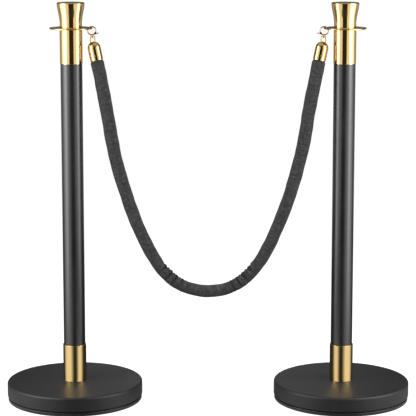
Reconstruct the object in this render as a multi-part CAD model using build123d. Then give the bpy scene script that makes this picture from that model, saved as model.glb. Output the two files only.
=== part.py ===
from build123d import *
import os
from math import cos, pi, radians, sin, sqrt, tan

# A pair of free-standing crown-top posts joined by a hanging barrier rope.
# Millimetres, +Z up. The floor is z = 0, the posts stand on the X axis either side of the origin,
# and the rope hangs in the plane y = 0. Everything on the right is the mirror of the left.

# ---- overall sizes ----
post_half_spacing = 316.5
base_diameter = 320.0
base_height = 44.5
post_length = 834.0
tube_diameter = 50.8

# ---- base ----
ring_height = 8.5
ring_width = 13.0
ring_inset = 1.5
ring_lip_radius = 1.5
shadow_gap = 3.5
cover_wall = 1.5
cover_edge_radius = 5.0
weight_thickness = 13.0
weight_edge_gap = 3.5
weight_boss_radius = 30.0
bolt_radius = 5.0
bolt_head_flats = 17.0
bolt_head_height = 6.4
washer_radius = 11.0
washer_thickness = 2.0
bolt_pocket_depth = 14.0

# ---- post ----
tube_wall = 1.2
lower_sleeve_length = 88.0
lower_sleeve_wall = 1.9
lower_sleeve_ease = 0.8
upper_sleeve_length = 80.0
upper_sleeve_wall = 0.8
upper_sleeve_ease = 0.4
plug_thickness = 15.0

# ---- hook plate and crown ----
plate_radius = 50.0
plate_thickness = 3.4
plate_rim_radius = 1.02
plate_hole_radius = 6.0
plate_hole_circle = 40.5
plate_hole_count = 4
crown_height = 58.0
crown_foot_radius = 26.2
crown_waist_radius = 25.7
crown_top_radius = 32.3
crown_waist_height_share = 0.20
crown_flare_height_share = 0.58
crown_flare_share = 0.48
crown_dome_rise = 1.3
crown_edge_radius = 3.0
crown_wall = 2.2
crown_plug_thickness = 8.0
crown_stud_radius = 4.0

# ---- snap hook ----
wire_radius = 1.5
hook_ring_radius = 9.5
gate_wire_radius = 1.2
gate_pivot_angle = -38.0
gate_seam_angle = 40.74
gate_seam_gap = 0.3
nose_angle = 34.0
pivot_boss_radius = 2.4
pivot_tongue_half = 1.0
gate_slot_radius = 3.4
gate_slot_half = 2.1
gate_cheek_half = 3.0
gate_cheek_radius = 2.3
gate_arm_length = 5.4
gate_arm_lean = 25.0
thumb_tab_reach = 8.6
thumb_tab_radius = 1.4
pin_radius = 0.8
spring_wire_radius = 0.2
spring_coil_radius = 1.25
spring_leg_length = 3.1
swivel_offset = 1.75
swivel_shank_radius = 1.6
swivel_head_radius = 2.3
swivel_head_height = 2.2

# ---- swivel loop ----
loop_wire_radius = 1.4
loop_half_width = 5.1
loop_length = 20.5
loop_corner_radius = 3.6
loop_boss_radius = 3.2
loop_boss_height = 3.0

# ---- ferrule ----
ferrule_radius = 15.0
ferrule_wall = 1.2
ferrule_skirt = 28.3
ferrule_tilt = 11.5
ferrule_offset_x = 3.3
pin_above_dome_centre = 10.1
loop_pin_radius = 1.5
screw_radius = 1.5
screw_head_radius = 2.2
screw_head_height = 0.5
screw_up_from_mouth = 11.0
screw_inboard = 2.0

# ---- rope ----
rope_diameter = 31.0
rope_core_diameter = 26.4
rope_tail = 18.0
rope_first_run = 99.0
# After its first straight run the left half of the rope goes through these corners, each given as
# a share of the way from the middle out to the ferrule's mouth and a drop below that mouth.
rope_route_left = [
    (0.8561, 216.5),
    (0.7260, 334.5),
    (0.5766, 430.5),
    (0.4349, 493.5),
    (0.2718, 531.5),
    (0.0932, 547.0),
]

# ---- clearances ----
slip_fit = 0.05
hook_play = 0.5
loose_gap = 0.3

# ---- places worked out from the sizes above ----
tube_radius = tube_diameter / 2
base_radius = base_diameter / 2
ring_inner_radius = base_radius - ring_width
ring_outer_radius = base_radius - ring_inset
tube_bore_radius = tube_radius - tube_wall
sleeve_bore_radius = tube_radius + slip_fit
plate_bottom = base_height + post_length
plate_top = plate_bottom + plate_thickness
weight_bottom = ring_height
weight_radius = base_radius - cover_wall - weight_edge_gap
cover_bottom = ring_height + shadow_gap
pocket_top = weight_bottom + bolt_pocket_depth
hook_x = (plate_hole_circle + plate_hole_radius + plate_radius) / 2
loop_x = hook_x + swivel_offset
hook_z = plate_top + hook_play + wire_radius - hook_ring_radius
loop_boss_top = -hook_ring_radius - wire_radius - loose_gap
loop_top = loop_boss_top - loop_boss_height / 2
loop_foot = loop_top - loop_length
loop_pin_z = loop_foot + loop_wire_radius + loop_pin_radius + loose_gap
pivot_x = hook_ring_radius * cos(radians(gate_pivot_angle))
pivot_z = hook_ring_radius * sin(radians(gate_pivot_angle))
gate_seam_height = hook_ring_radius * sin(radians(gate_seam_angle))
ferrule_x = loop_x + ferrule_offset_x - post_half_spacing
ferrule_z = hook_z + loop_pin_z - pin_above_dome_centre
mouth_x = ferrule_x + ferrule_skirt * sin(radians(ferrule_tilt))
mouth_z = ferrule_z - ferrule_skirt * cos(radians(ferrule_tilt))


def tube_between(outer, inner, low, high):
    """A plain round tube, or a rod where the inner radius is 0."""
    body = Pos(0, 0, low) * Cylinder(outer, high - low, align=(Align.CENTER, Align.CENTER, Align.MIN))
    if inner > 0:
        body -= Pos(0, 0, low) * Cylinder(inner, high - low, align=(Align.CENTER, Align.CENTER, Align.MIN))
    return body


def turned(profile):
    """A solid of revolution about Z from a closed outline drawn in the XZ plane."""
    return revolve(make_face(Plane.XZ * profile), Axis.Z)


def edges_at(body, height, radius):
    """The circular edges of a body at one height and one radius."""
    found = body.edges().filter_by(GeomType.CIRCLE)
    return [e for e in found if abs(e.center().Z - height) < 1e-3 and abs(e.radius - radius) < 1e-3]


# ---- base pieces, built about the post's own axis ----
def base_ring():
    """Rubber foot ring, with a rounded outer lip and a step that the weight rests on."""
    body = tube_between(ring_outer_radius, ring_inner_radius, 0, ring_height)
    return fillet(edges_at(body, 0, ring_outer_radius), ring_lip_radius)


def base_weight():
    """Cast weight plate with a centre boss that carries the post, bored and pocketed for the bolt."""
    body = tube_between(weight_radius, 0, weight_bottom, weight_bottom + weight_thickness)
    body += tube_between(weight_boss_radius, 0, weight_bottom, base_height - cover_wall)
    body -= tube_between(bolt_radius + slip_fit, 0, weight_bottom, base_height)
    body -= tube_between(washer_radius + 2 * loose_gap, 0, weight_bottom, pocket_top)
    return body


def base_cover():
    """Pressed sheet cover with an upright skirt, a rounded upper edge and a bolt hole."""
    body = tube_between(base_radius, 0, cover_bottom, base_height)
    body = fillet(edges_at(body, base_height, base_radius), cover_edge_radius)
    inner = tube_between(base_radius - cover_wall, 0, cover_bottom, base_height - cover_wall)
    inner = fillet(edges_at(inner, base_height - cover_wall, base_radius - cover_wall), cover_edge_radius - cover_wall)
    return body - inner - tube_between(bolt_radius + slip_fit, 0, cover_bottom, base_height)


def base_bolt():
    """Hexagon bolt that comes up through the weight into the foot plug."""
    head_low = pocket_top - washer_thickness - bolt_head_height
    head = Pos(0, 0, head_low) * extrude(RegularPolygon(bolt_head_flats / 2, 6, major_radius=False), bolt_head_height)
    return head + tube_between(bolt_radius, 0, head_low, base_height + plug_thickness)


def base_washer():
    """Flat washer between the bolt head and the weight."""
    return tube_between(washer_radius, bolt_radius + slip_fit, pocket_top - washer_thickness, pocket_top)


# ---- post pieces ----
def foot_plug():
    """Tapped plug fixed in the tube's foot."""
    return tube_between(tube_bore_radius - slip_fit, bolt_radius + slip_fit, base_height, base_height + plug_thickness)


def post_tube():
    """Coated round tube."""
    return tube_between(tube_radius, tube_bore_radius, base_height, plate_bottom)


def lower_sleeve():
    """Polished collar round the tube's foot, with eased ends."""
    outer = sleeve_bore_radius + lower_sleeve_wall
    body = tube_between(outer, sleeve_bore_radius, base_height, base_height + lower_sleeve_length)
    return fillet(edges_at(body, base_height + lower_sleeve_length, outer), lower_sleeve_ease)


def upper_sleeve():
    """Thin polished collar under the hook plate."""
    outer = sleeve_bore_radius + upper_sleeve_wall
    body = tube_between(outer, sleeve_bore_radius, plate_bottom - upper_sleeve_length, plate_bottom)
    return fillet(edges_at(body, plate_bottom - upper_sleeve_length, outer), upper_sleeve_ease)


def top_plug():
    """Tapped plug fixed in the tube's top, which the crown screws into."""
    bore = crown_stud_radius + slip_fit
    return tube_between(tube_bore_radius - slip_fit, bore, plate_bottom - plug_thickness, plate_bottom)


def hook_plate():
    """Round plate with rounded rims and a ring of hook holes."""
    body = tube_between(plate_radius, 0, plate_bottom, plate_top)
    rims = edges_at(body, plate_bottom, plate_radius) + edges_at(body, plate_top, plate_radius)
    body = fillet(rims, plate_rim_radius)
    body -= tube_between(crown_stud_radius + slip_fit, 0, plate_bottom, plate_top)
    for n in range(plate_hole_count):
        spot = Rot(0, 0, 360 * n / plate_hole_count) * Pos(plate_hole_circle, 0, 0)
        body -= spot * tube_between(plate_hole_radius, 0, plate_bottom, plate_top)
    return body


# ---- crown pieces ----
def crown_outline(inset):
    """Half outline of the crown: a waisted side that flares to a wide, softly domed top."""
    low = plate_top
    high = plate_top + crown_height - inset
    foot = (crown_foot_radius - inset, low)
    waist = (crown_waist_radius - inset, low + crown_waist_height_share * crown_height)
    flare_radius = crown_waist_radius + crown_flare_share * (crown_top_radius - crown_waist_radius)
    flare = (flare_radius - inset, low + crown_flare_height_share * crown_height)
    rim = (crown_top_radius - inset, high - crown_edge_radius)
    shoulder = (rim[0] - crown_edge_radius, high)
    lean = crown_edge_radius * (1 - cos(radians(45)))
    crest = (0, high + crown_dome_rise)
    outline = Spline(foot, waist, flare, rim)
    outline += ThreePointArc(rim, (rim[0] - lean, high - lean), shoulder)
    dome_radius = (shoulder[0] ** 2 + crown_dome_rise**2) / (2 * crown_dome_rise)
    half_way = shoulder[0] / 2
    dome_drop = dome_radius - sqrt(dome_radius**2 - half_way**2)
    outline += ThreePointArc(shoulder, (half_way, crest[1] - dome_drop), crest)
    return outline + Polyline(crest, (0, low), foot)


def crown_top():
    """Spun crown shell, open underneath."""
    return turned(crown_outline(0)) - turned(crown_outline(crown_wall))


def crown_plug():
    """Threaded disc pressed into the crown's foot."""
    outer = crown_waist_radius - crown_wall - loose_gap
    return tube_between(outer, crown_stud_radius + slip_fit, plate_top, plate_top + crown_plug_thickness)


def crown_stud():
    """Threaded rod that joins the crown to the post through the hook plate."""
    return tube_between(crown_stud_radius, 0, plate_bottom - plug_thickness, plate_top + crown_plug_thickness)


# ---- snap hook pieces, built about the centre of the hook's ring, in the XZ plane ----
def ring_wire(radius, start, end):
    """Round wire bent along an arc of the hook's ring, from one angle to another in degrees."""
    path = Plane.XZ * CenterArc((0, 0), hook_ring_radius, start, end - start)
    return sweep((path ^ 0) * Circle(radius), path=path)


def across(radius, half):
    """A round bar on the gate's pivot axis, along Y, reaching half each way."""
    return Pos(pivot_x, 0, pivot_z) * Rot(90, 0, 0) * Cylinder(radius, 2 * half)


def seam_block(height, side):
    """A large block above or below a height on the ring, to trim wire ends level."""
    reach = 4 * hook_ring_radius
    return Pos(0, 0, height) * Box(reach, reach, reach, align=(Align.CENTER, Align.CENTER, side))


def hook():
    """Snap hook: an open ring, a flat pivot tongue at its lower end and a riveted swivel shank below."""
    nose = ring_wire(wire_radius, nose_angle, 90)
    nose -= seam_block(gate_seam_height + gate_seam_gap / 2, Align.MAX)
    body = nose + ring_wire(wire_radius, 90, 360 + gate_pivot_angle)
    relief = across(gate_slot_radius, gate_slot_half)
    relief -= across(gate_slot_radius, pivot_tongue_half)
    body -= relief
    body += across(pivot_boss_radius, pivot_tongue_half)
    body -= across(pin_radius + slip_fit, gate_cheek_half)
    head_top = loop_boss_top - loop_boss_height - loose_gap
    head = tube_between(swivel_head_radius, 0, head_top - swivel_head_height, head_top)
    head = fillet(edges_at(head, head_top - swivel_head_height, swivel_head_radius), swivel_head_height / 2)
    head += tube_between(swivel_shank_radius, 0, head_top, -hook_ring_radius)
    return body + Pos(swivel_offset, 0, 0) * head


def gate():
    """Forked gate: two cheeks on the pin, a wire that closes the ring and a thumb tab outside it."""
    depth = 2 * gate_cheek_half
    pivot = Pos(pivot_x, 0, pivot_z)
    foot = (Align.MIN, Align.CENTER, Align.CENTER)
    body = across(gate_cheek_radius, gate_cheek_half)
    body += pivot * Box(gate_slot_radius + thumb_tab_radius, depth, 2 * thumb_tab_radius, align=foot)
    arm = Box(2 * gate_wire_radius, depth, gate_arm_length, align=(Align.CENTER, Align.CENTER, Align.MIN))
    body += pivot * Rot(0, gate_arm_lean, 0) * arm
    body -= across(gate_slot_radius, gate_slot_half)
    body -= across(pin_radius + slip_fit, gate_cheek_half)
    wire = ring_wire(gate_wire_radius, gate_pivot_angle + gate_arm_lean, nose_angle + gate_arm_lean)
    wire -= seam_block(gate_seam_height - gate_seam_gap / 2, Align.MIN)
    tab = Cylinder(thumb_tab_radius, thumb_tab_reach - gate_slot_radius, align=(Align.CENTER, Align.CENTER, Align.MIN))
    return body + wire + pivot * Pos(gate_slot_radius, 0, 0) * Rot(0, 90, 0) * tab


def gate_pin():
    """Riveted pin through the fork and the tongue."""
    return across(pin_radius, gate_cheek_half)


def gate_spring():
    """Fine wire coil beside the tongue, with a leg along the hook and a leg along the gate."""
    side = (pivot_tongue_half + gate_slot_half) / 2
    body = Rot(90, 0, 0) * Torus(spring_coil_radius, spring_wire_radius)
    leg_length = spring_leg_length - spring_coil_radius
    leg = Cylinder(spring_wire_radius, leg_length, align=(Align.CENTER, Align.CENTER, Align.MIN))
    for lean in (gate_arm_lean, 180 + gate_pivot_angle):
        body += Rot(0, lean, 0) * Pos(0, 0, spring_coil_radius) * leg
    return Pos(pivot_x, side, pivot_z) * body


def swivel_loop():
    """Closed wire loop with a bored boss on top for the hook's shank; its foot sits in the ferrule."""
    outline = RectangleRounded(2 * loop_half_width, loop_length, loop_corner_radius)
    path = (Plane.XZ * Pos(0, loop_top - loop_length / 2) * outline).wire()
    body = sweep((path ^ 0) * Circle(loop_wire_radius), path=path)
    low = loop_boss_top - loop_boss_height
    body += tube_between(loop_boss_radius, 0, low, loop_boss_top)
    return body - tube_between(swivel_shank_radius + slip_fit, 0, low, loop_boss_top)


# ---- ferrule pieces ----
def along_y(radius, start, end):
    """A round bar along Y between two Y values."""
    middle = (start + end) / 2
    return Pos(0, middle, 0) * Rot(90, 0, 0) * Cylinder(radius, abs(end - start))


def in_hook_frame(piece):
    """Move a piece from the hook ring's own frame to the left post's hook."""
    return Pos(hook_x - post_half_spacing, 0, hook_z) * piece


def in_loop_frame(piece):
    """Move a piece from the loop's own frame, under the hook's shank, to the left post's hook."""
    return Pos(loop_x - post_half_spacing, 0, hook_z) * piece


def in_ferrule_frame(piece):
    """Move a piece from the ferrule's own frame, dome centre at the origin, to the left rope end."""
    return Pos(ferrule_x, 0, ferrule_z) * Rot(0, -ferrule_tilt, 0) * piece


def screw_place():
    """Where the grub screw's axis crosses the ferrule's middle plane."""
    return Pos(-screw_inboard, 0, screw_up_from_mouth - ferrule_skirt)


def loop_pin():
    """Cross pin inside the dome that the loop hangs on, its ends flush with the dome."""
    off_centre = sqrt(ferrule_offset_x**2 + pin_above_dome_centre**2)
    half = sqrt(ferrule_radius**2 - (off_centre + loop_pin_radius) ** 2)
    return in_loop_frame(Pos(0, 0, loop_pin_z) * along_y(loop_pin_radius, -half, half))


def ferrule():
    """Domed end cap with a slot for the loop, holes for its pin and a spot face for the screw."""
    inner = ferrule_radius - ferrule_wall
    outline = Line((ferrule_radius, -ferrule_skirt), (ferrule_radius, 0))
    outline += CenterArc((0, 0), ferrule_radius, 0, 90)
    outline += Line((0, ferrule_radius), (0, inner))
    outline += CenterArc((0, 0), inner, 0, 90)
    outline += Line((inner, 0), (inner, -ferrule_skirt))
    outline += Line((inner, -ferrule_skirt), (ferrule_radius, -ferrule_skirt))
    body = turned(outline)
    body -= screw_place() * along_y(screw_radius + slip_fit, -ferrule_radius, 0)
    seat = ferrule_radius - ferrule_wall / 2
    body -= screw_place() * along_y(screw_head_radius + slip_fit, -2 * ferrule_radius, -seat)
    body = in_ferrule_frame(body)
    slot_low = loop_foot - loop_wire_radius - loose_gap
    slot = Box(
        2 * (loop_half_width + loop_wire_radius + loose_gap),
        2 * (loop_wire_radius + loose_gap),
        loop_top - slot_low,
        align=(Align.CENTER, Align.CENTER, Align.MIN),
    )
    body -= in_loop_frame(Pos(0, 0, slot_low) * slot)
    pin_hole = along_y(loop_pin_radius + slip_fit, -ferrule_radius, ferrule_radius)
    return body - in_loop_frame(Pos(0, 0, loop_pin_z) * pin_hole)


def ferrule_screw():
    """Small domed screw that pins the ferrule to the rope."""
    seat = ferrule_radius - ferrule_wall / 2
    body = along_y(screw_head_radius, -seat - ferrule_wall / 2 - screw_head_height, -seat)
    body += along_y(screw_radius, -seat, -rope_core_diameter / 2 - loose_gap)
    return in_ferrule_frame(screw_place() * body)


# ---- rope ----
def rope_path():
    """The rope's middle line: straight runs joined by tangent arcs, from one ferrule mouth to the other."""
    lean = radians(ferrule_tilt)
    first = (mouth_x + rope_first_run * sin(lean), mouth_z - rope_first_run * cos(lean))
    left = [(mouth_x, mouth_z), first] + [(share * mouth_x, mouth_z - drop) for share, drop in rope_route_left]
    right = [(-x, z) for x, z in reversed(left)]
    points = [Vector(x, 0, z) for x, z in left + right]
    runs = [b - a for a, b in zip(points, points[1:])]
    turns = [radians(a.get_angle(b)) for a, b in zip(runs, runs[1:])]
    radii = [0.45 * min(a.length, b.length) / tan(t / 2) for a, b, t in zip(runs, runs[1:], turns)]
    print("rope runs", [round(r.length) for r in runs])
    print("rope bend radii", [round(r) for r in radii])
    return FilletPolyline(*points, radius=radii)


def rope_solid(path, diameter):
    """A round tube of the given diameter along the rope's path."""
    body = sweep((path ^ 0) * Circle(diameter / 2), path=path)
    share = body.volume / (pi * diameter**2 / 4 * path.length)
    print("rope length", round(path.length), "volume / (section x length)", round(share, 4))
    return body


def rope_core(path):
    """Soft filling, which carries on into both ferrules."""
    tail = tube_between(rope_core_diameter / 2, 0, -ferrule_skirt, rope_tail - ferrule_skirt)
    tail = in_ferrule_frame(tail)
    return rope_solid(path, rope_core_diameter) + tail + mirror(tail, about=Plane.YZ)


def rope_cover(path):
    """Woven cover round the filling, butted against the ferrules' mouths."""
    return rope_solid(path, rope_diameter) - rope_solid(path, rope_core_diameter)


# ---- all pieces ----
post_pieces = [
    base_ring, base_weight, base_cover, base_bolt, base_washer, foot_plug, post_tube, lower_sleeve,
    upper_sleeve, top_plug, hook_plate, crown_plug, crown_stud, crown_top,
]
hook_pieces = [hook, gate, gate_pin, gate_spring]
ferrule_pieces = [ferrule, loop_pin, ferrule_screw]

os.makedirs("parts", exist_ok=True)
left_pieces = {}
for make in post_pieces:
    left_pieces[make.__name__] = Pos(-post_half_spacing, 0, 0) * make()
for make in hook_pieces:
    left_pieces[make.__name__] = in_hook_frame(make())
left_pieces["swivel_loop"] = in_loop_frame(swivel_loop())
for make in ferrule_pieces:
    left_pieces[make.__name__] = make()
for name, piece in left_pieces.items():
    export_step(piece, f"parts/left_{name}.step")
    export_step(mirror(piece, about=Plane.YZ), f"parts/right_{name}.step")
route = rope_path()
export_step(rope_core(route), "parts/rope_core.step")
export_step(rope_cover(route), "parts/rope_cover.step")
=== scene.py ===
import math

import bmesh
import bpy
import numpy as np
from mathutils import Matrix


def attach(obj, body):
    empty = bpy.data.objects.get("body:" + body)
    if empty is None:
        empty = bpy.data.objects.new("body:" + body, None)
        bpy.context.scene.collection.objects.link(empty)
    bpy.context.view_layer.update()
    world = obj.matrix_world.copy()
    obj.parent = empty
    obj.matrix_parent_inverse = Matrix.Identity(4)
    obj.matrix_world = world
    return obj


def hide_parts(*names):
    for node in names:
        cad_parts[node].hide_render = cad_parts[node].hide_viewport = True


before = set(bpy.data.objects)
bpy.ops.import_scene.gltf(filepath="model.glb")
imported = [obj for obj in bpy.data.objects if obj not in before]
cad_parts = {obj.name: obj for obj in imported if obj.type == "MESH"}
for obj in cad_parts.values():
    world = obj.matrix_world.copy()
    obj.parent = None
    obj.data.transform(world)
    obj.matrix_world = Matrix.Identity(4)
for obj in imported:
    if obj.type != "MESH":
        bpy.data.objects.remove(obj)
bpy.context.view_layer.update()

# ---------------------------------------------------------------------------
# The view: a long lens in front of the set, a little above the crowns and tipped down,
# with a small vertical shift, so the bases read as wide ovals and the posts stay upright.
camera_distance = 3.953
camera_height = 1.160
camera_tip_down = 0.151
camera_sensor = 36
camera_lens = 148.0673
camera_shift = -0.101

camera = bpy.data.objects.new("camera", bpy.data.cameras.new("camera"))
bpy.context.scene.collection.objects.link(camera)
camera.data.sensor_width = camera_sensor
camera.data.lens = camera_lens
camera.data.shift_y = camera_shift
camera.location = (0, -camera_distance, camera_height)
camera.rotation_euler = (math.pi / 2 - camera_tip_down, 0, 0)
bpy.context.scene.camera = camera
bpy.context.scene.view_settings.view_transform = "Standard"


# ---------------------------------------------------------------------------
# The studio: a pale floor, a tall softbox on each side, a broad one overhead and a low glow behind.
# A card in front gives polished metal its dark middle band, and a card just over the bases, seen
# only by mirror rays, gives the foot collars their lower reflections.
full_white = (1, 1, 1, 1)
side_box_x = 0.90
side_box_front = -2.15
side_box_back = 0.12
side_box_low = 0.02
side_box_top = 1.75
side_box_even = 0.85
side_box_bright = 4.15
side_box_middle = (-0.34, 0.95)
side_box_spread = (1.0, 0.22, 0.80)
back_glow_half = 1.4
back_glow_y = 2.5
back_glow_low = 0.35
back_glow_top = 1.0
back_glow_bright = 0.98
back_glow_middle = 0.7
back_glow_spread = (0.50, 1.0, 0.6)
overhead_half_width = 1.4
overhead_half_depth = 1.3
overhead_height = 2.6
overhead_mirrored = (full_white, 0.45)
overhead_cast = (full_white, 1.7)
dark_card_half = 0.88
dark_card_y = -2.17
dark_card_top = 1.9
dark_card_mirrored = ((1, 0.75, 0.6, 1), 0.03)
dark_card_cast = (full_white, 0.85)
floor_half = 60.0
floor_tone = (0.45, 0.45, 0.45, 1)
floor_glow = 0.97
floor_lit = 0.36
floor_close_by = 0.17
ground_card_half = 0.9
ground_card_front = -1.2
ground_card_back = 1.0
ground_card_height = 0.046
ground_lit = 0.85
ground_unlit = 0.03
ground_tint = (1, 0.98, 0.95, 1)
far_behind_lit = 0.33
far_behind_span = (1.0, 2.0)
close_by_span = (0.30, 0.80)
outer_bearings = (0.0, 0.80, 1.30, 2.25)
inner_bearings = (0.26, 0.98, 1.00, 1.80)
post_line = 0.3165
collar_skin = 0.02735
air_tone = (0.115, 0.112, 0.115, 1)


def sheet_of(name, corners):
    """A flat four-cornered sheet through the given corners."""
    mesh = bpy.data.meshes.new(name)
    mesh.from_pydata([tuple(c) for c in corners], [], [(0, 1, 2, 3)])
    piece = bpy.data.objects.new(name, mesh)
    bpy.context.scene.collection.objects.link(piece)
    return piece


def new_material(name):
    """An empty node material and its node tree, with only an output in it."""
    material = bpy.data.materials.new(name)
    material.use_nodes = True
    tree = material.node_tree
    tree.nodes.clear()
    tree.nodes.new("ShaderNodeOutputMaterial")
    return material, tree


def softbox(name, corners, wide, bright, middle, spread):
    """A glowing sheet: an even glow plus a brighter bell-shaped patch around a middle point."""
    piece = sheet_of(name, corners)
    piece.visible_camera = False
    material, tree = new_material(name)
    coord = tree.nodes.new("ShaderNodeTexCoord")
    away = tree.nodes.new("ShaderNodeVectorMath")
    away.operation = "SUBTRACT"
    away.inputs[1].default_value = middle
    tree.links.new(coord.outputs["Object"], away.inputs[0])
    scaled = tree.nodes.new("ShaderNodeVectorMath")
    scaled.operation = "DIVIDE"
    scaled.inputs[1].default_value = spread
    tree.links.new(away.outputs[0], scaled.inputs[0])
    square = tree.nodes.new("ShaderNodeVectorMath")
    square.operation = "DOT_PRODUCT"
    tree.links.new(scaled.outputs[0], square.inputs[0])
    tree.links.new(scaled.outputs[0], square.inputs[1])
    bell = tree.nodes.new("ShaderNodeMath")
    bell.operation = "POWER"
    bell.inputs[0].default_value = math.exp(-1)
    tree.links.new(square.outputs["Value"], bell.inputs[1])
    level = tree.nodes.new("ShaderNodeMath")
    level.operation = "MULTIPLY_ADD"
    level.inputs[1].default_value = bright
    level.inputs[2].default_value = wide
    tree.links.new(bell.outputs[0], level.inputs[0])
    glow = tree.nodes.new("ShaderNodeEmission")
    tree.links.new(level.outputs[0], glow.inputs["Strength"])
    tree.links.new(glow.outputs[0], tree.nodes["Material Output"].inputs["Surface"])
    piece.data.materials.append(material)
    return piece


for side in (-1, 1):
    x = side * side_box_x
    corners = [
        (x, side_box_front, side_box_low), (x, side_box_back, side_box_low),
        (x, side_box_back, side_box_top), (x, side_box_front, side_box_top),
    ]
    softbox(
        f"side_softbox_{side + 1}", corners, side_box_even, side_box_bright, (x, *side_box_middle),
        side_box_spread,
    )
back_corners = [
    (-back_glow_half, back_glow_y, back_glow_low), (back_glow_half, back_glow_y, back_glow_low),
    (back_glow_half, back_glow_y, back_glow_top), (-back_glow_half, back_glow_y, back_glow_top),
]
back_middle = (0, back_glow_y, back_glow_middle)
softbox("back_glow", back_corners, 0.0, back_glow_bright, back_middle, back_glow_spread)


def seen_only(tree, kind, hidden, shown):
    """Show one shader to a kind of ray and another shader to every other kind."""
    light_path = tree.nodes.new("ShaderNodeLightPath")
    pick = tree.nodes.new("ShaderNodeMixShader")
    tree.links.new(light_path.outputs[kind], pick.inputs[0])
    tree.links.new(hidden.outputs[0], pick.inputs[1])
    tree.links.new(shown.outputs[0], pick.inputs[2])
    return pick


def glowing(tree, colour, strength):
    """An emission shader of one colour and strength."""
    glow = tree.nodes.new("ShaderNodeEmission")
    glow.inputs["Color"].default_value = colour
    glow.inputs["Strength"].default_value = strength
    return glow


def split_glow(name, corners, mirrored, cast):
    """A sheet with one colour and strength in mirrors and another as it lights dull surfaces."""
    piece = sheet_of(name, corners)
    piece.visible_camera = False
    material, tree = new_material(name)
    pick = seen_only(tree, "Is Diffuse Ray", glowing(tree, *mirrored), glowing(tree, *cast))
    tree.links.new(pick.outputs[0], tree.nodes["Material Output"].inputs["Surface"])
    piece.data.materials.append(material)


def level_corners(half_width, front, back, height):
    """The corners of a level rectangle, centred from side to side."""
    return [
        (-half_width, front, height), (half_width, front, height),
        (half_width, back, height), (-half_width, back, height),
    ]


overhead_corners = level_corners(
    overhead_half_width, -overhead_half_depth, overhead_half_depth, overhead_height
)
split_glow("overhead", overhead_corners, overhead_mirrored, overhead_cast)
dark_card_corners = [
    (-dark_card_half, dark_card_y, 0), (dark_card_half, dark_card_y, 0),
    (dark_card_half, dark_card_y, dark_card_top), (-dark_card_half, dark_card_y, dark_card_top),
]
split_glow("dark_card", dark_card_corners, dark_card_mirrored, dark_card_cast)

floor = sheet_of("floor", level_corners(floor_half, -floor_half, floor_half, 0))
floor_paint, tree = new_material("pale_floor")
pale = tree.nodes.new("ShaderNodeBsdfDiffuse")
pale.inputs["Color"].default_value = floor_tone
shown = tree.nodes.new("ShaderNodeAddShader")
tree.links.new(pale.outputs[0], shown.inputs[0])
tree.links.new(glowing(tree, full_white, floor_glow).outputs[0], shown.inputs[1])


def math_node(tree, operation, *parts):
    """The outcome of one sum in a node tree, whose parts are sockets or numbers."""
    made = tree.nodes.new("ShaderNodeMath")
    made.operation = operation
    for socket, part in zip(made.inputs, parts):
        if isinstance(part, (int, float)):
            socket.default_value = part
        else:
            tree.links.new(part, socket)
    return made.outputs[0]


def smooth_step(tree, source, start, end):
    """A smooth step from 0 at the start to 1 at the end."""
    step = tree.nodes.new("ShaderNodeMapRange")
    step.interpolation_type = "SMOOTHSTEP"
    step.inputs[1].default_value = start
    step.inputs[2].default_value = end
    tree.links.new(source, step.inputs[0])
    return step.outputs[0]


def lit_ground(tree, lit, unlit, close_by):
    """How bright the ground looks in polished metal: pale to each side of a post, dark straight in
    front and close behind, half dark far behind, and a little paler close by. It goes by the
    bearing from the collar's own skin, which is the bearing from the post's middle turned on as
    the distance gets short."""
    spot = tree.nodes.new("ShaderNodeSeparateXYZ")
    tree.links.new(tree.nodes.new("ShaderNodeTexCoord").outputs["Object"], spot.inputs[0])
    outward = math_node(tree, "SUBTRACT", math_node(tree, "ABSOLUTE", spot.outputs[0]), post_line)
    forward = math_node(tree, "MULTIPLY", spot.outputs[1], -1)
    outward_square = math_node(tree, "POWER", outward, 2.0)
    forward_square = math_node(tree, "POWER", spot.outputs[1], 2.0)
    distance = math_node(tree, "POWER", math_node(tree, "ADD", outward_square, forward_square), 0.5)
    short = math_node(tree, "MINIMUM", math_node(tree, "DIVIDE", collar_skin, distance), 1.0)
    bearing = math_node(tree, "MULTIPLY", math_node(tree, "ARCTAN2", outward, forward), 2.0)
    bearing = math_node(tree, "DIVIDE", bearing, math_node(tree, "SUBTRACT", 2.0, short))
    far_behind = smooth_step(tree, spot.outputs[1], *far_behind_span)
    level = math_node(tree, "MULTIPLY", far_behind, far_behind_lit)
    for sign, marks in ((1, outer_bearings), (-1, inner_bearings)):
        turned = math_node(tree, "MULTIPLY", bearing, sign)
        rise = smooth_step(tree, turned, *marks[:2])
        fall = math_node(tree, "SUBTRACT", 1.0, smooth_step(tree, turned, *marks[2:]))
        pale_side = math_node(tree, "MULTIPLY", rise, fall)
        level = math_node(tree, "ADD", level, math_node(tree, "MULTIPLY", pale_side, lit))
    fade = math_node(tree, "SUBTRACT", 1.0, smooth_step(tree, distance, *close_by_span))
    level = math_node(tree, "ADD", level, math_node(tree, "MULTIPLY", fade, close_by))
    glow = glowing(tree, ground_tint, 1.0)
    tree.links.new(math_node(tree, "ADD", level, unlit), glow.inputs["Strength"])
    return glow


patches = lit_ground(tree, floor_lit, ground_unlit, floor_close_by)
pick = seen_only(tree, "Is Camera Ray", patches, shown)
tree.links.new(pick.outputs[0], tree.nodes["Material Output"].inputs["Surface"])
floor.data.materials.append(floor_paint)

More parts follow.
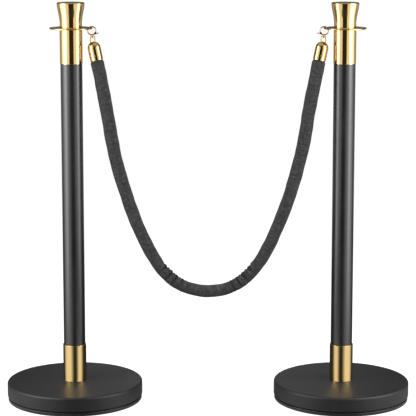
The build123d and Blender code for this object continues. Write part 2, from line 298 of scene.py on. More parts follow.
ground_card = sheet_of("ground_card", level_corners(
    ground_card_half, ground_card_front, ground_card_back, ground_card_height
))
ground_card.visible_camera = False
ground_card.visible_diffuse = False
ground_card.visible_shadow = False
ground_card.visible_transmission = False
paint, tree = new_material("ground_card")
under = tree.nodes.new("ShaderNodeNewGeometry").outputs["Backfacing"]
pick = tree.nodes.new("ShaderNodeMixShader")
tree.links.new(under, pick.inputs[0])
tree.links.new(lit_ground(tree, ground_lit, ground_unlit, 0.0).outputs[0], pick.inputs[1])
tree.links.new(tree.nodes.new("ShaderNodeBsdfTransparent").outputs[0], pick.inputs[2])
tree.links.new(pick.outputs[0], tree.nodes["Material Output"].inputs["Surface"])
ground_card.data.materials.append(paint)

world = bpy.data.worlds.new("studio")
bpy.context.scene.world = world
world.use_nodes = True
tree = world.node_tree
tree.nodes.clear()
air = tree.nodes.new("ShaderNodeOutputWorld")
white = tree.nodes.new("ShaderNodeBackground")
white.inputs["Color"].default_value = full_white
dusk = tree.nodes.new("ShaderNodeBackground")
dusk.inputs["Color"].default_value = air_tone
tree.links.new(seen_only(tree, "Is Camera Ray", dusk, white).outputs[0], air.inputs["Surface"])


# ---------------------------------------------------------------------------
# The bases: a rubber foot ring under a cast weight plate, hidden by a cover spun from sheet steel
# and powder coated satin black, with a narrow shadow gap above the ring. A bolt comes up through
# the weight into the post's foot plug.
posts = {"left": -post_line, "right": post_line}
base_radius = 0.160
base_top = 0.0445
cover_low = 0.012
cover_wall = 0.0015
cover_edge = 0.005
bolt_hole = 0.00505
ring_outer = 0.1585
ring_inner = 0.147
ring_top = 0.0085
ring_lip = 0.0020
crisp = 0.0003
base_sides = 192


def rounded(corners, steps=6, ease=0.35):
    """A closed outline through corners of (across, up, round). Each corner is an arc tangent to its
    two sides, with one more point just beyond each end of the arc, so that flat sides look flat."""
    spots = np.array([corner[:2] for corner in corners], float)
    line = []
    for k, (spot, size) in enumerate(zip(spots, [corner[2] for corner in corners])):
        sides = np.stack([spots[k - 1] - spot, spots[(k + 1) % len(spots)] - spot])
        reach = np.linalg.norm(sides, axis=1)[:, None]
        sides = sides / reach
        half = math.acos(np.clip(sides[0] @ sides[1], -1, 1)) / 2
        toward = sides.sum(axis=0)
        centre = spot + toward / np.linalg.norm(toward) * size / math.sin(half)
        first, last = spot + sides * size / math.tan(half) - centre
        share = np.linspace(0, 1, steps + 1)[:, None]
        sweep = math.pi - 2 * half
        arc = (np.sin((1 - share) * sweep) * first + np.sin(share * sweep) * last) / math.sin(sweep)
        beyond = spot + sides * np.minimum(size / math.tan(half) + size * ease, reach * 0.48)
        line += [beyond[:1], centre + arc, beyond[1:]]
    return np.concatenate(line)


def grid_piece(name, points, closed_rows=False, uv=None):
    """A mesh of quads on a grid of points, in rows whose columns run round and close. Faces point
    along the column direction crossed with the row direction. A row whose points all meet is a
    pole, closed by a fan. The uv pair holds one value per column edge and one per row."""
    rows, columns = points.shape[:2]
    number = np.arange(rows * columns).reshape(rows, columns)
    pole = np.ptp(points, axis=1).max(axis=1) < 1e-9
    number[pole] = number[pole, :1]
    used = np.unique(number)
    r, c = np.meshgrid(np.arange(rows if closed_rows else rows - 1), np.arange(columns), indexing="ij")
    r, c = r.ravel(), c.ravel()
    corner_row = np.stack([r, r, r + 1, r + 1], 1)
    corner_column = np.stack([c, c + 1, c + 1, c], 1)
    first, last = pole[r], pole[(r + 1) % rows]
    faces, pairs = [], []
    for chosen, corners in (
        (~first & ~last, [0, 1, 2, 3]),
        (first & ~last, [0, 2, 3]),
        (~first & last, [0, 1, 2]),
    ):
        row, column = corner_row[chosen][:, corners], corner_column[chosen][:, corners]
        faces += np.searchsorted(used, number[row % rows, column % columns]).tolist()
        if uv is not None:
            pairs.append(np.stack([uv[0][column], uv[1][row]], -1).reshape(-1, 2))
    mesh = bpy.data.meshes.new(name)
    mesh.from_pydata(points.reshape(-1, 3)[used].tolist(), [], faces)
    if uv is not None:
        layer = mesh.uv_layers.new(name="UVMap")
        layer.data.foreach_set("uv", np.concatenate(pairs).astype(np.float32).ravel())
    mesh.polygons.foreach_set("use_smooth", np.ones(len(mesh.polygons), bool))
    mesh.update()
    piece = bpy.data.objects.new(name, mesh)
    bpy.context.scene.collection.objects.link(piece)
    return piece


def lathe(name, outline, place, sides, closed=True):
    """An outline of (radius, height) points turned about the upright axis, then moved to its place.
    The outline goes up on the outside and down on the inside, so that faces point outwards."""
    turn = np.linspace(0, 2 * np.pi, sides, endpoint=False)
    points = np.empty((len(outline), sides, 3))
    points[..., 0] = outline[:, :1] * np.cos(turn)
    points[..., 1] = outline[:, :1] * np.sin(turn)
    points[..., 2] = outline[:, 1:]
    place = np.array(place)
    return grid_piece(name, points @ place[:3, :3].T + place[:3, 3], closed_rows=closed)


def stand_for(piece, nodes, body, material):
    """Put a finished piece in the place of CAD nodes, on their body and material slot."""
    piece.data.materials.clear()
    piece.data.materials.append(material)
    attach(piece, body)
    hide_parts(*nodes)


def finish_nodes(material, *words):
    """Give the material to CAD nodes that are kept, one on each side for each word."""
    for side in posts:
        for word in words:
            kept = bpy.data.objects[f"{side}_{word}"]
            kept.data.materials.clear()
            kept.data.materials.append(material)


def add_node(tree, kind, values=None, links=None, **settings):
    """A new shader node, with its settings, input values and incoming links."""
    made = tree.nodes.new(kind)
    for word, value in settings.items():
        setattr(made, word, value)
    for socket, value in (values or {}).items():
        made.inputs[socket].default_value = value
    for socket, source in (links or {}).items():
        tree.links.new(source, made.inputs[socket])
    return made


def mixed(tree, share, first, second):
    """A colour that goes from the first to the second as the share goes from 0 to 1."""
    made = add_node(tree, "ShaderNodeMix", links={0: share}, data_type="RGBA")
    for socket, colour in ((6, first), (7, second)):
        if isinstance(colour, tuple):
            made.inputs[socket].default_value = colour
        else:
            tree.links.new(colour, made.inputs[socket])
    return made.outputs[2]


def ranged(tree, value, low, high, start=0.0, end=1.0):
    """A value that runs from start to end, stretched to run from low to high."""
    return add_node(tree, "ShaderNodeMapRange", {1: start, 2: end, 3: low, 4: high}, {0: value}).outputs[0]


def empty_group(name, inputs, outputs):
    """A node group with named float inputs and named float outputs, still empty inside."""
    group = bpy.data.node_groups.new(name, "ShaderNodeTree")
    for word, value in inputs.items():
        group.interface.new_socket(word, in_out="INPUT", socket_type="NodeSocketFloat").default_value = value
    for word in outputs:
        group.interface.new_socket(word, in_out="OUTPUT", socket_type="NodeSocketFloat")
    return group, group.nodes.new("NodeGroupInput"), group.nodes.new("NodeGroupOutput")


def grain_group():
    """Skin of a coated, cast or moulded surface: fine bumps over coarse ones, a slow cloud, and
    scattered specks where a small noise rises above a limit."""
    group, given, gives = empty_group(
        "grain", {"Fine": 900.0, "Coarse": 240.0, "Cloud": 12.0, "Specks": 500.0},
        ("Height", "Cloud", "Specks"),
    )
    coord = add_node(group, "ShaderNodeTexCoord").outputs["Object"]
    noises = {
        word: add_node(
            group, "ShaderNodeTexNoise", {"Detail": detail}, {"Vector": coord, "Scale": given.outputs[word]}
        ).outputs[0]
        for word, detail in (("Fine", 2.0), ("Coarse", 1.0), ("Cloud", 4.0), ("Specks", 0.0))
    }
    bumps = add_node(group, "ShaderNodeMath", links={0: noises["Fine"], 1: noises["Coarse"]}, operation="ADD")
    group.links.new(bumps.outputs[0], gives.inputs["Height"])
    group.links.new(noises["Cloud"], gives.inputs["Cloud"])
    group.links.new(ranged(group, noises["Specks"], 0, 1, 0.74, 0.80), gives.inputs["Specks"])
    return group


def place_group(tree, group, **values):
    """A node group placed in a material, with its inputs set."""
    made = add_node(tree, "ShaderNodeGroup", node_tree=group)
    for word, value in values.items():
        made.inputs[word].default_value = value
    return made


def finish_shader(tree, colour, roughness, height, depth, constants):
    """The Principled shader that ends a material. Its bump is the height times the depth."""
    bump = add_node(tree, "ShaderNodeBump", {"Strength": 1.0, "Distance": depth}, {"Height": height})
    shader = add_node(
        tree, "ShaderNodeBsdfPrincipled", constants,
        {"Base Color": colour, "Roughness": roughness, "Normal": bump.outputs[0]},
    )
    tree.links.new(shader.outputs[0], tree.nodes["Material Output"].inputs["Surface"])


grain = grain_group()


def coated(name, dark, light, low, high, depth, sizes, constants):
    """A grained finish: a colour that drifts between dark and light and a roughness between low and
    high with the slow cloud, pale specks, and a bump from the grain."""
    material, tree = new_material(name)
    skin = place_group(tree, grain, **sizes)
    drift = ranged(tree, skin.outputs["Cloud"], 0, 1, 0.35, 0.65)
    colour = mixed(tree, drift, dark, light)
    speck = tuple(min(1.0, 2.2 * part) for part in light[:3]) + (1,)
    colour = mixed(tree, skin.outputs["Specks"], colour, speck)
    roughness = ranged(tree, skin.outputs["Cloud"], low, high, 0.35, 0.65)
    finish_shader(tree, colour, roughness, skin.outputs["Height"], depth, constants)
    return material


powder_black = coated(
    "satin_black_base", (0.013, 0.013, 0.0134, 1), (0.018, 0.018, 0.0184, 1), 0.43, 0.49, 0.000012,
    {"Fine": 1100.0, "Coarse": 300.0, "Cloud": 9.0, "Specks": 620.0}, {"IOR": 1.65},
)
foot_rubber = coated(
    "foot_rubber", (0.018, 0.018, 0.018, 1), (0.026, 0.026, 0.026, 1), 0.30, 0.38, 0.00002,
    {"Fine": 1600.0, "Coarse": 420.0, "Cloud": 22.0, "Specks": 800.0}, {"IOR": 1.6},
)
# The weight's dark iron colour is partly painted shade: it is darkened so that the shadow gap above the foot
# ring reads black.
gap_shaded_iron = coated(
    "cast_iron", (0.014, 0.014, 0.014, 1), (0.024, 0.023, 0.022, 1), 0.55, 0.75, 0.00025,
    {"Fine": 700.0, "Coarse": 180.0, "Cloud": 30.0, "Specks": 300.0}, {"Specular IOR Level": 0.4},
)
zinc_plate = coated(
    "zinc_plate", (0.50, 0.50, 0.47, 1), (0.66, 0.65, 0.60, 1), 0.28, 0.42, 0.00002,
    {"Fine": 2200.0, "Coarse": 600.0, "Cloud": 160.0, "Specks": 900.0}, {"Metallic": 1.0},
)

cover_outline = rounded([
    (base_radius, cover_low, crisp), (base_radius, base_top, cover_edge), (bolt_hole, base_top, crisp),
    (bolt_hole, base_top - cover_wall, crisp),
    (base_radius - cover_wall, base_top - cover_wall, cover_edge - cover_wall),
    (base_radius - cover_wall, cover_low, crisp),
])
ring_outline = rounded([
    (ring_outer, 0, ring_lip), (ring_outer, ring_top, ring_lip),
    (ring_inner, ring_top, 2 * crisp), (ring_inner, 0, 2 * crisp),
])
for side, x in posts.items():
    place = Matrix.Translation((x, 0, 0))
    cover = lathe(f"{side}_spun_cover", cover_outline, place, base_sides)
    stand_for(cover, [f"{side}_base_cover"], "posts", powder_black)
    ring = lathe(f"{side}_foot_ring", ring_outline, place, base_sides)
    stand_for(ring, [f"{side}_base_ring"], "posts", foot_rubber)
finish_nodes(gap_shaded_iron, "base_weight")
finish_nodes(zinc_plate, "base_bolt", "base_washer", "foot_plug", "top_plug", "crown_stud")


# ---------------------------------------------------------------------------
# The posts: round steel tube, powder coated satin black like the bases, with a polished collar
# round the foot and a thinner one under the hook plate. Both collars are brass-plated tube.
tube_radius = 0.0254
tube_wall = 0.0012
tube_top = 0.8785
collar_bore = 0.02545
foot_collar_outer = 0.02735
foot_collar_top = 0.1325
foot_collar_ease = 0.0008
neck_collar_outer = 0.02625
neck_collar_low = 0.7985
neck_collar_ease = 0.0004
post_sides = 144


def polish_group():
    """Polished plate: hairlines that run round the post, as noise squeezed along the height, and
    slow smudges that dull the shine in patches."""
    group, given, gives = empty_group(
        "polish", {"Lines": 1500.0, "Smudges": 40.0}, ("Height", "Smudge", "Tone")
    )
    coord = add_node(group, "ShaderNodeTexCoord").outputs["Object"]
    squeezed = add_node(
        group, "ShaderNodeVectorMath", {1: (0.03, 0.03, 1.0)}, {0: coord}, operation="MULTIPLY"
    )
    lines = add_node(
        group, "ShaderNodeTexNoise", {"Detail": 2.0},
        {"Vector": squeezed.outputs[0], "Scale": given.outputs["Lines"]},
    )
    smudges = add_node(
        group, "ShaderNodeTexNoise", {"Detail": 5.0},
        {"Vector": coord, "Scale": given.outputs["Smudges"]},
    )
    tone = add_node(group, "ShaderNodeTexNoise", {"Scale": 11.0, "Detail": 2.0}, {"Vector": coord})
    group.links.new(lines.outputs[0], gives.inputs["Height"])
    group.links.new(smudges.outputs[0], gives.inputs["Smudge"])
    group.links.new(tone.outputs[0], gives.inputs["Tone"])
    return group


polish = polish_group()


def plated(name, pale, deep, low, high, depth, lines):
    """Polished brass plate, its colour between pale and deep and its roughness between low and high."""
    material, tree = new_material(name)
    shine = place_group(tree, polish, Lines=lines, Smudges=45.0)
    colour = mixed(tree, ranged(tree, shine.outputs["Tone"], 0, 1, 0.35, 0.65), pale, deep)
    roughness = ranged(tree, shine.outputs["Smudge"], low, high, 0.38, 0.68)
    finish_shader(tree, colour, roughness, shine.outputs["Height"], depth, {"Metallic": 1.0})
    return material


tube_black = coated(
    "satin_black_tube", (0.007, 0.007, 0.0073, 1), (0.010, 0.010, 0.0104, 1), 0.28, 0.33, 0.000012,
    {"Fine": 1100.0, "Coarse": 300.0, "Cloud": 11.0, "Specks": 620.0}, {"IOR": 1.92},
)
polished_brass = plated(
    "polished_brass", (0.95, 0.71, 0.33, 1), (0.92, 0.66, 0.28, 1), 0.06, 0.11, 0.0000015, 1500.0
)

tube_outline = rounded([
    (tube_radius, base_top, crisp), (tube_radius, tube_top, crisp),
    (tube_radius - tube_wall, tube_top, crisp), (tube_radius - tube_wall, base_top, crisp),
])
foot_outline = rounded([
    (foot_collar_outer, base_top, crisp), (foot_collar_outer, foot_collar_top, foot_collar_ease),
    (collar_bore, foot_collar_top, crisp), (collar_bore, base_top, crisp),
])
neck_outline = rounded([
    (neck_collar_outer, neck_collar_low, neck_collar_ease), (neck_collar_outer, tube_top, crisp),
    (collar_bore, tube_top, crisp), (collar_bore, neck_collar_low, crisp),
])
for side, x in posts.items():
    place = Matrix.Translation((x, 0, 0))
    tube = lathe(f"{side}_tube", tube_outline, place, post_sides)
    stand_for(tube, [f"{side}_post_tube"], "posts", tube_black)
    foot = lathe(f"{side}_foot_collar", foot_outline, place, post_sides)
    stand_for(foot, [f"{side}_lower_sleeve"], "posts", polished_brass)
    neck = lathe(f"{side}_neck_collar", neck_outline, place, post_sides)
    stand_for(neck, [f"{side}_upper_sleeve"], "posts", polished_brass)


# ---------------------------------------------------------------------------
# The hook plates: turned brass-plated discs with round rims and four holes for rope hooks, held
# between the neck collar and the crown.
plate_radius = 0.050
plate_top = 0.8819
plate_rim = 0.0016
plate_bore = 0.00405
hook_hole = 0.0062
hole_ease = 0.0008
hook_hole_circle = 0.0405
hole_clear = 0.001
plate_sides = 160


def prism(name, ring, low, high, place):
    """A closed bar: a ring of (x, y) points carried up from low to high, with a flat fan at each end."""
    points = np.empty((4, len(ring), 3))
    points[..., :2] = ring
    points[[0, 3], :, :2] = ring.mean(axis=0)
    points[..., 2] = np.array([low, low, high, high])[:, None]
    place = np.array(place)
    return grid_piece(name, points @ place[:3, :3].T + place[:3, 3])


def disc(radius, sides=40):
    """Points round a circle."""
    turn = np.linspace(0, 2 * np.pi, sides, endpoint=False)
    return radius * np.stack([np.cos(turn), np.sin(turn)], 1)


def cut_away(piece, cutters, ease):
    """Cut the cutters' shapes out of a piece and round the new edges over a small width."""
    for cutter in cutters:
        change = piece.modifiers.new("cut", "BOOLEAN")
        change.operation = "DIFFERENCE"
        change.solver = "EXACT"
        change.object = cutter
    edge = piece.modifiers.new("ease", "BEVEL")
    edge.width = ease
    edge.segments = 2
    edge.limit_method = "ANGLE"
    edge.angle_limit = math.radians(50)
    edge.harden_normals = True
    ready = piece.evaluated_get(bpy.context.evaluated_depsgraph_get())
    mesh = bpy.data.meshes.new_from_object(ready)
    piece.modifiers.clear()
    piece.data = mesh
    for cutter in cutters:
        bpy.data.objects.remove(cutter)


plate_outline = rounded([
    (plate_radius, tube_top, plate_rim), (plate_radius, plate_top, plate_rim),
    (plate_bore, plate_top, crisp), (plate_bore, tube_top, crisp),
])
for side, x in posts.items():
    plate = lathe(f"{side}_plate", plate_outline, Matrix.Translation((x, 0, 0)), plate_sides)
    bars = []
    for across, back in ((1, 0), (0, 1), (-1, 0), (0, -1)):
        place = Matrix.Translation((x + across * hook_hole_circle, back * hook_hole_circle, 0))
        bars.append(prism("hole", disc(hook_hole), tube_top - hole_clear, plate_top + hole_clear, place))
    cut_away(plate, bars, hole_ease)
    stand_for(plate, [f"{side}_hook_plate"], "posts", polished_brass)


# ---------------------------------------------------------------------------
# The crowns: spun brass-plated shells, waisted near the foot and flaring to a softly domed top.
# Each is screwed down on a stud through the hook plate.
crown_stations = np.array([(0.0, 26.2), (11.6, 25.7), (33.64, 28.87), (55.0, 32.3)]) / 1000
crown_rise = 0.058
crown_edge = 0.003
crown_dome = 0.0013
crown_wall = 0.0022


def crown_skin(inset):
    """The crown's side and top from the foot to the pole, moved inwards by the inset: a cubic
    through the four stations, a quarter-circle shoulder, then a shallow dome that drops with
    the square of the radius."""
    up, out = crown_stations.T
    high = crown_rise - inset
    heights = np.linspace(0, high - crown_edge, 40)
    cubic = np.polyfit(up, out, 3)
    side = np.stack([np.polyval(cubic, heights * up[-1] / heights[-1]) - inset, heights], 1)
    turn = np.linspace(0, np.pi / 2, 10)[1:]
    shoulder = out[-1] - inset - crown_edge
    bend = np.stack([shoulder + crown_edge * np.cos(turn), high - crown_edge + crown_edge * np.sin(turn)], 1)
    out_again = np.linspace(shoulder, 0, 14)[1:]
    dome = np.stack([out_again, high + crown_dome * (1 - (out_again / shoulder) ** 2)], 1)
    return np.concatenate([side, bend, dome])


crown_outline = np.concatenate([crown_skin(0), crown_skin(crown_wall)[::-1]]) + (0, plate_top)
for side, x in posts.items():
    crown = lathe(f"{side}_crown", crown_outline, Matrix.Translation((x, 0, 0)), post_sides)
    stand_for(crown, [f"{side}_crown_top"], "posts", polished_brass)
finish_nodes(zinc_plate, "crown_plug")


# ---------------------------------------------------------------------------
# The snap hooks: cast brass rings through the plates' inner holes, with a sprung gate on a pin and
# a swivel shank riveted into a wire loop. The loop's foot hangs in the ferrule.
hook_gap = 0.00002


def smooth_copy(name, node):
    """A copy of a CAD piece's mesh with its triangles joined up, its curved faces shaded smooth and
    the edges of more than 35 degrees kept crisp."""
    mesh = bpy.data.objects[node].data.copy()
    shape = bmesh.new()
    shape.from_mesh(mesh)
    bmesh.ops.remove_doubles(shape, verts=shape.verts, dist=hook_gap)
    shape.to_mesh(mesh)
    shape.free()
    mesh.polygons.foreach_set("use_smooth", np.ones(len(mesh.polygons), bool))
    mesh.set_sharp_from_angle(angle=math.radians(35))
    piece = bpy.data.objects.new(name, mesh)
    bpy.context.scene.collection.objects.link(piece)
    return piece


cast_brass = plated("cast_brass", (0.84, 0.58, 0.23, 1), (0.74, 0.48, 0.16, 1), 0.12, 0.24, 0.000004, 700.0)
for side in posts:
    for word, body in (("hook", f"{side}_hook"), ("gate", f"{side}_gate"), ("swivel_loop", "rope")):
        copy = smooth_copy(f"{side}_{word}_smooth", f"{side}_{word}")
        stand_for(copy, [f"{side}_{word}"], body, cast_brass)
finish_nodes(cast_brass, "gate_pin", "loop_pin")
finish_nodes(zinc_plate, "gate_spring")


# ---------------------------------------------------------------------------
# The ferrules: drawn brass-plated caps with a round end, slotted for the loop and cross-drilled
# for its pin. A small socket screw through the skirt holds each one on the rope.
ferrule_middle = (-0.2632, 0.8342)
ferrule_radius = 0.015
ferrule_wall = 0.0012
ferrule_skirt = 0.0283
ferrule_lean = math.radians(11.5)
loop_middle = -0.2665
loop_pin_height = 0.8443
pin_hole = 0.00155
slot_half_length = 0.0068
slot_half_width = 0.0017
slot_low = 0.8394
screw_across = -0.002
screw_up = -0.0173
screw_seat = 0.0144
screw_head = 0.0022
screw_shank = 0.0015
screw_end = 0.0135
screw_top = 0.0155
socket_radius = 0.0010
socket_depth = 0.0007
ferrule_sides = 96

turn = np.linspace(0, np.pi / 2, 24)
dome = np.stack([np.cos(turn), np.sin(turn)], 1)
dome[-1, 0] = 0
lip = np.array([
    (ferrule_radius - ferrule_wall, -0.016), (ferrule_radius - ferrule_wall, 0.0004 - ferrule_skirt),
    (ferrule_radius - 0.7 * ferrule_wall, -ferrule_skirt),
    (ferrule_radius - 0.3 * ferrule_wall, -ferrule_skirt),
    (ferrule_radius, 0.0004 - ferrule_skirt), (ferrule_radius, 0.0008 - ferrule_skirt),
    (ferrule_radius, -0.016),
])
cap_outline = np.concatenate([lip, ferrule_radius * dome, (ferrule_radius - ferrule_wall) * dome[::-1]])
slot_ring = rounded([
    (-slot_half_length, -slot_half_width, 0.0016), (slot_half_length, -slot_half_width, 0.0016),
    (slot_half_length, slot_half_width, 0.0016), (-slot_half_length, slot_half_width, 0.0016),
])
screw_outline = np.concatenate([
    [(0, screw_end)],
    rounded([
        (screw_shank, screw_end, 0.0001), (screw_shank, screw_seat, 0.0001), (screw_head, screw_seat, 0.0001),
        (screw_head, screw_top, 0.0004), (socket_radius, screw_top, 0.0001),
        (socket_radius, screw_top - socket_depth, 0.0001),
    ], 3),
    [(0, screw_top - socket_depth)],
])
for side, flip in (("left", 1), ("right", -1)):
    middle_x, middle_z = ferrule_middle
    lean = Matrix.Rotation(-flip * ferrule_lean, 4, "Y")
    ferrule_place = Matrix.Translation((flip * middle_x, 0, middle_z)) @ lean
    toward_front = Matrix.Rotation(math.pi / 2, 4, "X")
    screw_place = ferrule_place @ Matrix.Translation((flip * screw_across, 0, screw_up)) @ toward_front
    loop_place = Matrix.Translation((flip * loop_middle, 0, 0))
    pin_place = Matrix.Translation((flip * loop_middle, 0, loop_pin_height)) @ toward_front
    cap = lathe(f"{side}_cap", cap_outline, ferrule_place, ferrule_sides)
    cut_away(cap, [
        prism("loop_slot", slot_ring, slot_low, slot_low + 0.02, loop_place),
        prism("pin_hole", disc(pin_hole, 24), -0.02, 0.02, pin_place),
        prism("screw_hole", disc(screw_shank + 0.00005, 24), 0.010, 0.02, screw_place),
        prism("screw_seat", disc(screw_head + 0.00005, 32), screw_seat, 0.02, screw_place),
    ], 0.0002)
    stand_for(cap, [f"{side}_ferrule"], "rope", polished_brass)
    screw = lathe(f"{side}_socket_screw", screw_outline, screw_place, 48, closed=False)
    stand_for(screw, [f"{side}_ferrule_screw"], "rope", zinc_plate)


# ---------------------------------------------------------------------------
# The rope: a soft filling in a woven black cover, tucked into the ferrules and hanging by its
# own weight. The cover creases on the inside of the bend and dents softly everywhere.
rope_diameter = 0.031
rope_mouth_radius = 0.0134
rope_low_radius = 0.0144
rope_tuck = 0.004
rope_swell = 0.007
rope_step = 0.0009
rope_sides = 60
slack_reach = 0.30
gather_folds = 19
gather_depth = 0.00035
gather_reach = 0.012
pleat_strength = 1.1
pleat_ridge = 0.45
route_left = [
    (-0.25756, 0.80647), (-0.23782, 0.70946), (-0.2205, 0.590), (-0.187, 0.472),
    (-0.1485, 0.376), (-0.112, 0.313), (-0.070, 0.275), (-0.024, 0.2595),
]
route = route_left + [(-x, z) for x, z in reversed(route_left)]


def smooth_line(points):
    """Points along a quadratic NURBS whose control points lie in the plane y = 0."""
    curve = bpy.data.curves.new("route", "CURVE")
    curve.dimensions = "3D"
    curve.resolution_u = 48
    spline = curve.splines.new("NURBS")
    spline.points.add(len(points) - 1)
    for spot, (x, z) in zip(spline.points, points):
        spot.co = (x, 0, z, 1)
    spline.order_u = 3
    spline.use_endpoint_u = True
    holder = bpy.data.objects.new("route", curve)
    mesh = bpy.data.meshes.new_from_object(holder)
    line = np.empty(len(mesh.vertices) * 3)
    mesh.vertices.foreach_get("co", line)
    bpy.data.objects.remove(holder)
    bpy.data.curves.remove(curve)
    bpy.data.meshes.remove(mesh)
    return line.reshape(-1, 3)


def even_steps(line, step):
    """The same line with its points a fixed step apart, measured along it."""
    runs = np.linalg.norm(np.diff(line, axis=0), axis=1)
    along = np.concatenate([[0], np.cumsum(runs)])
    wanted = np.linspace(0, along[-1], int(along[-1] / step) + 1)
    return np.stack([np.interp(wanted, along, line[:, k]) for k in range(3)], 1), wanted


def bell(x, middle, width):
    """A bell curve, 1 at its middle."""
    return np.exp(-(((x - middle) / width) ** 2))


rope_line, rope_along = even_steps(smooth_line(route), rope_step)
rope_length = rope_along[-1]
tangent = np.gradient(rope_line, axis=0)
tangent /= np.linalg.norm(tangent, axis=1)[:, None]
inward = np.stack([-tangent[:, 2], np.zeros(len(tangent)), tangent[:, 0]], 1)
angle = np.linspace(0, 2 * np.pi, rope_sides, endpoint=False)

s = rope_along[:, None]
t = angle[None, :]
from_end = np.minimum(s, rope_length - s)
tucked = np.clip(from_end / rope_swell, 0, 1)
tucked = tucked * tucked * (3 - 2 * tucked)
middle_share = bell(s, rope_length / 2, slack_reach)
full = rope_diameter / 2 * (1 - middle_share) + rope_low_radius * middle_share
radius = rope_mouth_radius + (full - rope_mouth_radius) * tucked
gather = gather_depth * np.exp(-from_end / gather_reach) * np.cos(gather_folds * t)
radius = radius + gather * tucked
dents = [
    (9.0, 1, 0.3, 0.00028), (14.0, 2, 1.9, 0.00022), (23.0, 3, 4.1, 0.00016),
    (31.0, 1, 2.6, 0.00016), (47.0, 2, 0.8, 0.00010),
]
for waves, turns, phase, depth in dents:
    radius = radius + depth * np.sin(2 * np.pi * waves * s / rope_length + turns * t + phase) * tucked
pleats = [
    (-0.131, 0.5, 0.0030, 0.0017, 1.3), (-0.121, -0.4, 0.0026, 0.0020, 1.1),
    (-0.110, 0.6, 0.0028, 0.0022, 1.5), (-0.100, -0.3, 0.0022, 0.0013, 2.2),
    (-0.091, 0.5, 0.0020, 0.0015, 2.6), (-0.082, -0.5, 0.0019, 0.0010, 2.3),
    (-0.073, 0.3, 0.0018, 0.0011, 2.6), (-0.063, -0.4, 0.0018, 0.0008, 2.4),
    (-0.053, 0.2, 0.0018, 0.0006, 2.6), (0.047, -0.3, 0.0018, 0.0006, 2.6),
    (0.056, 0.4, 0.0018, 0.0009, 2.4), (0.065, -0.2, 0.0018, 0.0011, 2.6),
    (0.074, 0.5, 0.0019, 0.0009, 2.3), (0.083, -0.4, 0.0020, 0.0014, 2.6),
    (0.093, 0.3, 0.0022, 0.0012, 2.2), (0.104, -0.5, 0.0027, 0.0021, 1.5),
    (0.115, 0.4, 0.0026, 0.0019, 1.1), (0.126, -0.4, 0.0030, 0.0016, 1.3),
]
# Painted shade: the depth of each pleat's groove is kept, to darken the cloth in the creases.
crease_shade_depth = np.zeros_like(radius)
for place, lean, width, depth, reach in pleats:
    where = rope_length / 2 + place + lean * 0.012 * np.sin(t)
    span = np.exp(-((np.minimum(t, 2 * np.pi - t) / reach) ** 2))
    groove = bell(s, where, width) * span
    ridge = pleat_ridge * bell(s, where + 1.9 * width, width * 1.1) * span
    radius = radius + pleat_strength * depth * (ridge - groove)
    crease_shade_depth = np.maximum(crease_shade_depth, groove * depth / 0.0016)

rings = rope_line[:, None, :] + radius[..., None] * (
    np.cos(t)[..., None] * inward[:, None, :] + np.sin(t)[..., None] * np.array([0, -1, 0])
)
tuck_in = np.array([np.sin(ferrule_lean), 0, -np.cos(ferrule_lean)]) * rope_tuck
start_ring = rings[:1] - tuck_in
end_ring = rings[-1:] - tuck_in * np.array([-1, 1, 1])
caps = [np.repeat(ring.mean(axis=1, keepdims=True), rope_sides, axis=1) for ring in (start_ring, end_ring)]
rings = np.concatenate([caps[0], start_ring, rings, end_ring, caps[1]])
around = np.arange(rope_sides + 1) / rope_sides
tail = [rope_length + rope_tuck, rope_length + 2 * rope_tuck]
lengthwise = np.concatenate([[-2 * rope_tuck, -rope_tuck], rope_along, tail]) / (np.pi * rope_diameter)
rope = grid_piece("rope", rings, uv=(around, lengthwise))
# The painted crease shade is handed to the cloth as a point attribute on the rope.
painted_crease_shade = np.zeros(rings.shape[:2])
painted_crease_shade[2:-2] = crease_shade_depth
painted_crease_shade = np.concatenate([painted_crease_shade[:1, :1].ravel(), painted_crease_shade[1:-1].ravel(), painted_crease_shade[-1:, :1].ravel()])
rope.data.attributes.new("painted_crease_shade", "FLOAT", "POINT").data.foreach_set("value", painted_crease_shade.astype(np.float32))
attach(rope, "rope")
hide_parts("rope_cover", "rope_core")

rope_dark = (0.027, 0.0275, 0.029, 1)
rope_light = (0.104, 0.105, 0.108, 1)
# Painted shade between the woven threads.
thread_gap_shade = (0.008, 0.008, 0.009, 1)
# Painted shade in the pleat grooves of the cover.
crease_shade_colour = (0.006, 0.006, 0.006, 1)
threads_round = 150.0
rib_scale = (3.0, 34.0, 1.0)
rib_lift = 14.0
cloth_relief = 0.00012


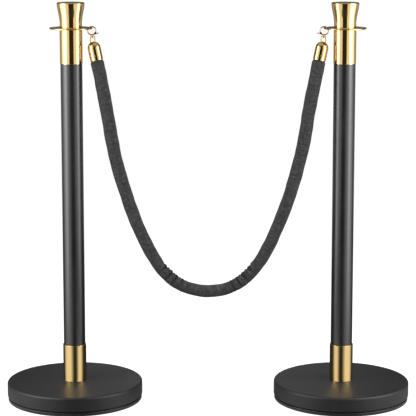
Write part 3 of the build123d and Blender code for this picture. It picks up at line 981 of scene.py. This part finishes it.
def weave_group():
    """A plain weave on the piece's UV map. Each thread is half a sine wave across, and it rises and
    dips along its length as it goes over and under, on alternate squares of a checker. The
    group also gives a soft cloud where the pile lies another way, and ribs across the rope."""
    group, given, gives = empty_group(
        "weave", {"Threads": threads_round}, ("Height", "Thread", "Nap", "Ribs")
    )
    uv = add_node(group, "ShaderNodeUVMap", uv_map="UVMap").outputs[0]
    spread = add_node(
        group, "ShaderNodeVectorMath", links={0: uv, 3: given.outputs[0]}, operation="SCALE"
    )
    split = add_node(group, "ShaderNodeSeparateXYZ", links={0: spread.outputs[0]})
    waves = [
        math_node(group, "SINE", math_node(group, "MULTIPLY", split.outputs[k], math.pi))
        for k in (0, 1)
    ]
    crests = [math_node(group, "ABSOLUTE", wave) for wave in waves]
    is_warp = math_node(group, "GREATER_THAN", math_node(group, "MULTIPLY", *waves), 0.0)
    thread = add_node(group, "ShaderNodeMix", links={0: is_warp, 2: crests[1], 3: crests[0]}).outputs[0]
    other = add_node(group, "ShaderNodeMix", links={0: is_warp, 2: crests[0], 3: crests[1]}).outputs[0]
    height = math_node(group, "MULTIPLY", thread, ranged(group, other, 0.45, 1.0))
    coord = add_node(group, "ShaderNodeTexCoord").outputs["Object"]
    nap = add_node(
        group, "ShaderNodeTexNoise", {"Scale": 130.0, "Detail": 6.0, "Roughness": 0.75},
        {"Vector": coord},
    )
    across = add_node(group, "ShaderNodeVectorMath", {1: rib_scale}, {0: uv}, operation="MULTIPLY")
    ribs = add_node(
        group, "ShaderNodeTexNoise", {"Scale": 1.0, "Detail": 4.0}, {"Vector": across.outputs[0]}
    )
    group.links.new(height, gives.inputs["Height"])
    group.links.new(thread, gives.inputs["Thread"])
    group.links.new(nap.outputs[0], gives.inputs["Nap"])
    group.links.new(ribs.outputs[0], gives.inputs["Ribs"])
    return group


rope_cloth, tree = new_material("rope_cloth")
woven = place_group(tree, weave_group(), Threads=threads_round)
cloth_tone = mixed(tree, ranged(tree, woven.outputs["Nap"], 0, 1, 0.35, 0.65), rope_dark, rope_light)
# Painted shade: the cloth goes darker in the low places between the threads.
cloth_tone = mixed(tree, ranged(tree, woven.outputs["Thread"], 0.35, 0.0), cloth_tone, thread_gap_shade)
# Painted shade: the cloth goes much darker in the pleat grooves.
crease_shade_share = add_node(tree, "ShaderNodeAttribute", attribute_name="painted_crease_shade").outputs["Fac"]
cloth_tone = mixed(tree, ranged(tree, crease_shade_share, 0, 0.95, 0.05, 0.55), cloth_tone, crease_shade_colour)
# Painted shade: the cloth goes darker in the troughs of the ribs across the rope.
painted_rib_shade = ranged(tree, woven.outputs["Ribs"], 0.7, 0.0, 0.38, 0.56)
cloth_tone = mixed(tree, painted_rib_shade, cloth_tone, rope_dark)
cloth_rough = ranged(tree, woven.outputs["Nap"], 0.62, 0.78, 0.3, 0.7)
relief = math_node(tree, "MULTIPLY_ADD", woven.outputs["Ribs"], rib_lift, woven.outputs["Height"])
finish_shader(
    tree, cloth_tone, cloth_rough, relief, cloth_relief,
    {"Specular IOR Level": 0.35, "Sheen Weight": 0.12, "Sheen Roughness": 0.45},
)
rope.data.materials.append(rope_cloth)
